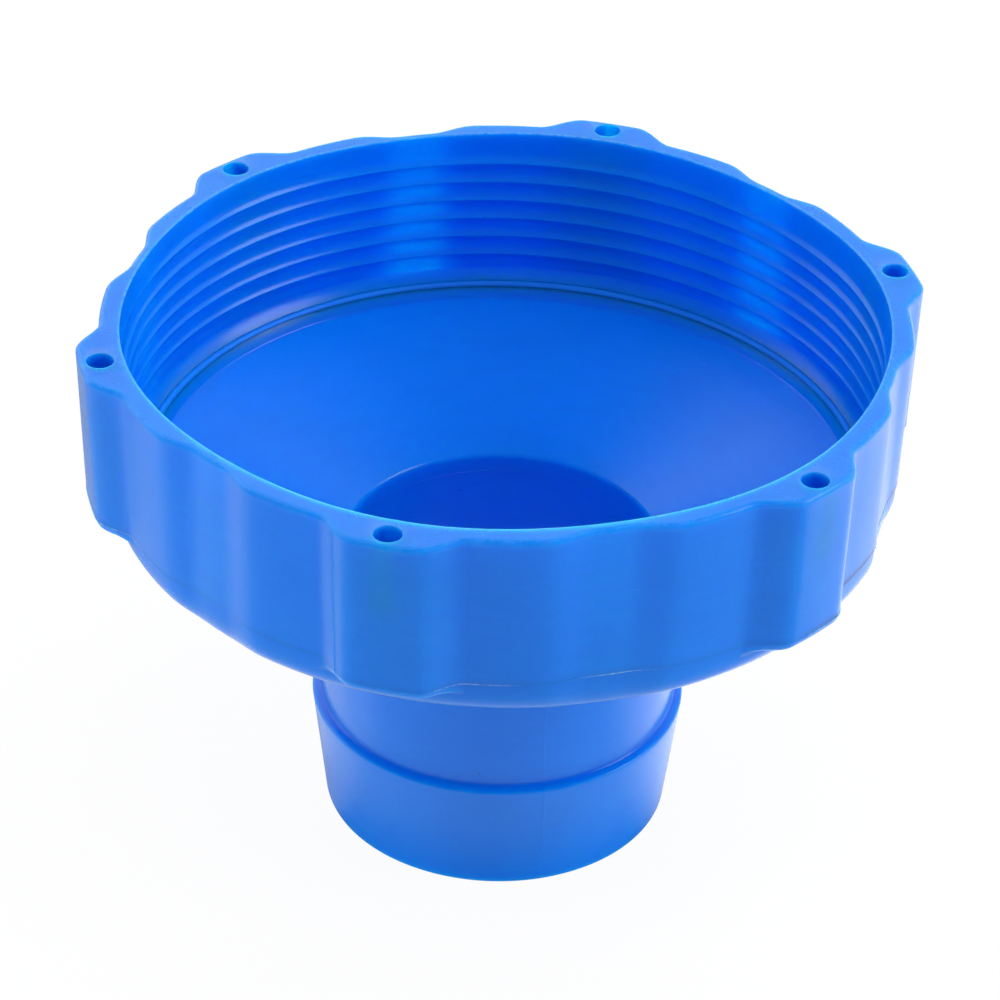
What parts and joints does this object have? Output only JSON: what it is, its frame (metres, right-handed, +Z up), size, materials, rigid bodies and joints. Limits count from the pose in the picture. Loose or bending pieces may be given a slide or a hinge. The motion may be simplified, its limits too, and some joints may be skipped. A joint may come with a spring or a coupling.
{
  "type": "threaded hose adapter",
  "caption": "Blue plastic adapter from a threaded neck to a hose: lobed collar with an internal thread, shallow cone, barbed hose spigot and a round sealing ring.",
  "frame": {"origin": "centre of the spigot's open end, on the adapter's axis, at the lowest point of the part", "axes": "+Z up along the axis towards the collar's mouth; +X through the middle of one grip lobe"},
  "size_m": [0.1218, 0.1132, 0.0819],
  "materials": {
    "blue_plastic": "semi-gloss injection-moulded polypropylene, saturated azure blue",
    "blue_rubber": "smooth azure blue rubber"
  },
  "bodies": {
    "adapter": {"adapter_body": "blue_plastic"},
    "seal": {"sealing_ring": "blue_rubber"}
  },
  "joints": [
    {"name": "seal_lift", "type": "slide", "parent": "adapter", "child": "seal", "axis": [0, 0, 1], "range_m": [0, 0.035]}
  ]
}
